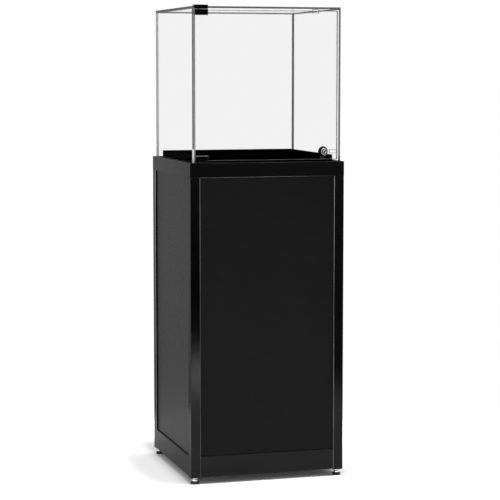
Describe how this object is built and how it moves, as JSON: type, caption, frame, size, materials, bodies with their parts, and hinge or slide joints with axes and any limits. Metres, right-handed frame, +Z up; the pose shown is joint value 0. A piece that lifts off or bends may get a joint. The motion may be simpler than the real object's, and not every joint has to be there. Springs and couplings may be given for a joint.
{
  "type": "display case",
  "caption": "Freestanding display case: a clear cube with a left-hinged, locking front door and a raised black deck, on a square black framed plinth with levelling feet.",
  "frame": {"origin": "on the floor, under the centre of the square plinth", "axes": "+Z up, -Y out of the front door, +X to the right of someone facing the door"},
  "size_m": [0.5, 0.5, 1.4893],
  "materials": {
    "black_powder_coat": "satin black powder coat on aluminium extrusion",
    "black_faced_board": "matt black melamine-faced board",
    "deck_black": "smooth black painted board",
    "clear_acrylic": "clear cast acrylic sheet with polished edges",
    "hinge_black": "black finished metal hinge and lock fittings",
    "chrome": "bright chrome plate",
    "zinc_steel": "zinc plated steel",
    "mill_aluminium": "mill finish aluminium",
    "foot_nylon": "moulded black nylon"
  },
  "bodies": {
    "plinth": {"post_front_left": "black_powder_coat", "post_front_right": "black_powder_coat", "post_back_right": "black_powder_coat", "post_back_left": "black_powder_coat", "top_rail_front": "black_powder_coat", "top_rail_right": "black_powder_coat", "top_rail_back": "black_powder_coat", "top_rail_left": "black_powder_coat", "bottom_rail_front": "black_powder_coat", "bottom_rail_right": "black_powder_coat", "bottom_rail_back": "black_powder_coat", "bottom_rail_left": "black_powder_coat", "panel_front": "black_faced_board", "panel_right": "black_faced_board", "panel_back": "black_faced_board", "panel_left": "black_faced_board", "base_board": "black_faced_board", "top_board": "black_faced_board", "display_deck": "deck_black", "clear_left": "clear_acrylic", "clear_right": "clear_acrylic", "clear_back": "clear_acrylic", "clear_top": "clear_acrylic", "door_stop": "clear_acrylic", "lock_keeper": "clear_acrylic", "top_hinge_clamp": "hinge_black", "bottom_hinge_base": "hinge_black", "top_pivot_pin": "zinc_steel", "bottom_pivot_pin": "zinc_steel", "foot_nut_front_left": "zinc_steel", "foot_nut_front_right": "zinc_steel", "foot_nut_back_right": "zinc_steel", "foot_nut_back_left": "zinc_steel", "cleat_front_left": "mill_aluminium", "cleat_front_right": "mill_aluminium", "cleat_back_right": "mill_aluminium", "cleat_back_left": "mill_aluminium", "foot_pad_front_left": "foot_nylon", "foot_pad_front_right": "foot_nylon", "foot_pad_back_right": "foot_nylon", "foot_pad_back_left": "foot_nylon"},
    "door": {"clear_door": "clear_acrylic", "top_patch_outer": "hinge_black", "top_patch_inner": "hinge_black", "bottom_patch_outer": "hinge_black", "bottom_patch_inner": "hinge_black", "top_patch_screw_1": "zinc_steel", "top_patch_screw_2": "zinc_steel", "bottom_patch_screw_1": "zinc_steel", "bottom_patch_screw_2": "zinc_steel", "lock_barrel": "chrome", "lock_bezel": "chrome", "lock_nut": "hinge_black"},
    "lock_plug": {"key_plug": "chrome", "lock_cam": "hinge_black", "cam_screw": "zinc_steel"},
    "foot_stem_front_left": {"foot_stem_front_left": "chrome"},
    "foot_stem_front_right": {"foot_stem_front_right": "chrome"},
    "foot_stem_back_right": {"foot_stem_back_right": "chrome"},
    "foot_stem_back_left": {"foot_stem_back_left": "chrome"}
  },
  "joints": [
    {"name": "door_swing", "type": "hinge", "parent": "plinth", "child": "door", "pos_m": [-0.217, -0.237, 1.012], "axis": [0, 0, -1], "range_deg": [0, 105]},
    {"name": "lock_turn", "type": "hinge", "parent": "door", "child": "lock_plug", "pos_m": [0.1865, -0.24, 1.0355], "axis": [0, -1, 0], "range_deg": [0, 90]},
    {"name": "foot_turn_front_left", "type": "hinge", "parent": "plinth", "child": "foot_stem_front_left", "pos_m": [-0.234, -0.234, 0.02], "axis": [0, 0, 1], "continuous": true},
    {"name": "foot_turn_front_right", "type": "hinge", "parent": "plinth", "child": "foot_stem_front_right", "pos_m": [0.234, -0.234, 0.02], "axis": [0, 0, 1], "continuous": true},
    {"name": "foot_turn_back_right", "type": "hinge", "parent": "plinth", "child": "foot_stem_back_right", "pos_m": [0.234, 0.234, 0.02], "axis": [0, 0, 1], "continuous": true},
    {"name": "foot_turn_back_left", "type": "hinge", "parent": "plinth", "child": "foot_stem_back_left", "pos_m": [-0.234, 0.234, 0.02], "axis": [0, 0, 1], "continuous": true}
  ]
}
